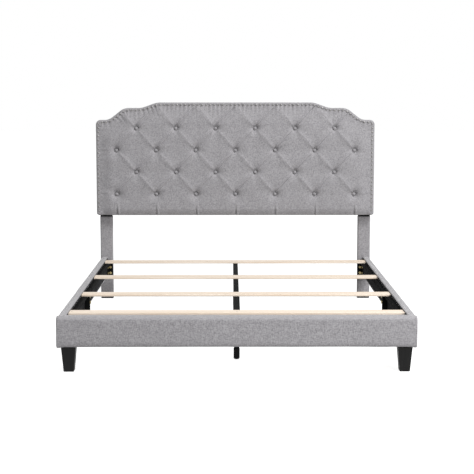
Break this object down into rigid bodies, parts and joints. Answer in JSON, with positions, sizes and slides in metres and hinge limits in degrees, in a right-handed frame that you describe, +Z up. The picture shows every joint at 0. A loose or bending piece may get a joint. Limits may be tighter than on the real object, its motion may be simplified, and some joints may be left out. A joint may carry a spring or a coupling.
{
  "type": "upholstered platform bed",
  "caption": "Upholstered platform bed frame with a button-tufted crown headboard, fabric rails, pine slats, a telescoping centre beam and adjustable support legs.",
  "frame": {"origin": "on the floor under the middle of the bed's overall box", "axes": "+X across the bed to its right as seen from the foot, +Y from the foot to the head, +Z up"},
  "size_m": [1.64, 2.1352, 1.17],
  "materials": {
    "cover_fabric": "warm grey linen-look weave",
    "black_lining": "thin black non-woven cloth",
    "core_timber": "plain sawn softwood",
    "plywood": "plain plywood",
    "pine": "planed unfinished pine",
    "black_timber": "satin black paint",
    "black_steel": "black powder coat",
    "black_plastic": "moulded black",
    "zinc_steel": "bright zinc plate",
    "nail_metal": "polished nickel"
  },
  "bodies": {
    "bed_frame": {"beam_end_cap": "black_plastic", "beam_front_tube": "black_steel", "beam_hanger": "black_steel", "beam_rear_tube": "black_steel", "centre_leg_bolts": "zinc_steel", "foot_rail_core": "core_timber", "foot_rail_cover": "cover_fabric", "foot_rail_lining": "black_lining", "front_centre_leg": "black_steel", "front_corner_blocks": "core_timber", "front_corner_brackets": "black_steel", "front_left_leg": "black_timber", "front_right_leg": "black_timber", "head_corner_brackets": "black_steel", "headboard_board": "plywood", "headboard_buttons": "cover_fabric", "headboard_crossbars": "core_timber", "headboard_dust_cloth": "black_lining", "headboard_nails": "nail_metal", "headboard_nuts": "zinc_steel", "headboard_pad": "cover_fabric", "headboard_uprights": "core_timber", "left_front_rail_core": "core_timber", "left_front_rail_cover": "cover_fabric", "left_post_core": "core_timber", "left_post_cover": "cover_fabric", "left_rail_linings": "black_lining", "left_rear_rail_core": "core_timber", "left_rear_rail_cover": "cover_fabric", "left_side_leg": "black_steel", "left_slat_ledges": "black_timber", "leg_hanger_bolts": "zinc_steel", "leg_inserts": "black_plastic", "middle_centre_leg": "black_steel", "post_bolts": "zinc_steel", "post_glides": "black_plastic", "post_linings": "black_lining", "rail_bolts": "zinc_steel", "rear_centre_leg": "black_steel", "right_front_rail_core": "core_timber", "right_front_rail_cover": "cover_fabric", "right_post_core": "core_timber", "right_post_cover": "cover_fabric", "right_rail_linings": "black_lining", "right_rear_rail_core": "core_timber", "right_rear_rail_cover": "cover_fabric", "right_side_leg": "black_steel", "right_slat_ledges": "black_timber", "side_leg_bolts": "zinc_steel", "slat_1": "pine", "slat_2": "pine", "slat_3": "pine", "slat_4": "pine", "slat_screws": "zinc_steel", "splice_plates": "black_steel"},
    "front_centre_glide_body": {"front_centre_glide": "black_plastic"},
    "middle_centre_glide_body": {"middle_centre_glide": "black_plastic"},
    "rear_centre_glide_body": {"rear_centre_glide": "black_plastic"},
    "left_side_glide_body": {"left_side_glide": "black_plastic"},
    "right_side_glide_body": {"right_side_glide": "black_plastic"}
  },
  "joints": [
    {"name": "front_centre_glide_screw", "type": "slide", "parent": "bed_frame", "child": "front_centre_glide_body", "axis": [0, 0, 1], "range_m": [0, 0.01]},
    {"name": "middle_centre_glide_screw", "type": "slide", "parent": "bed_frame", "child": "middle_centre_glide_body", "axis": [0, 0, 1], "range_m": [0, 0.01]},
    {"name": "rear_centre_glide_screw", "type": "slide", "parent": "bed_frame", "child": "rear_centre_glide_body", "axis": [0, 0, 1], "range_m": [0, 0.01]},
    {"name": "left_side_glide_screw", "type": "slide", "parent": "bed_frame", "child": "left_side_glide_body", "axis": [0, 0, 1], "range_m": [0, 0.01]},
    {"name": "right_side_glide_screw", "type": "slide", "parent": "bed_frame", "child": "right_side_glide_body", "axis": [0, 0, 1], "range_m": [0, 0.01]}
  ]
}
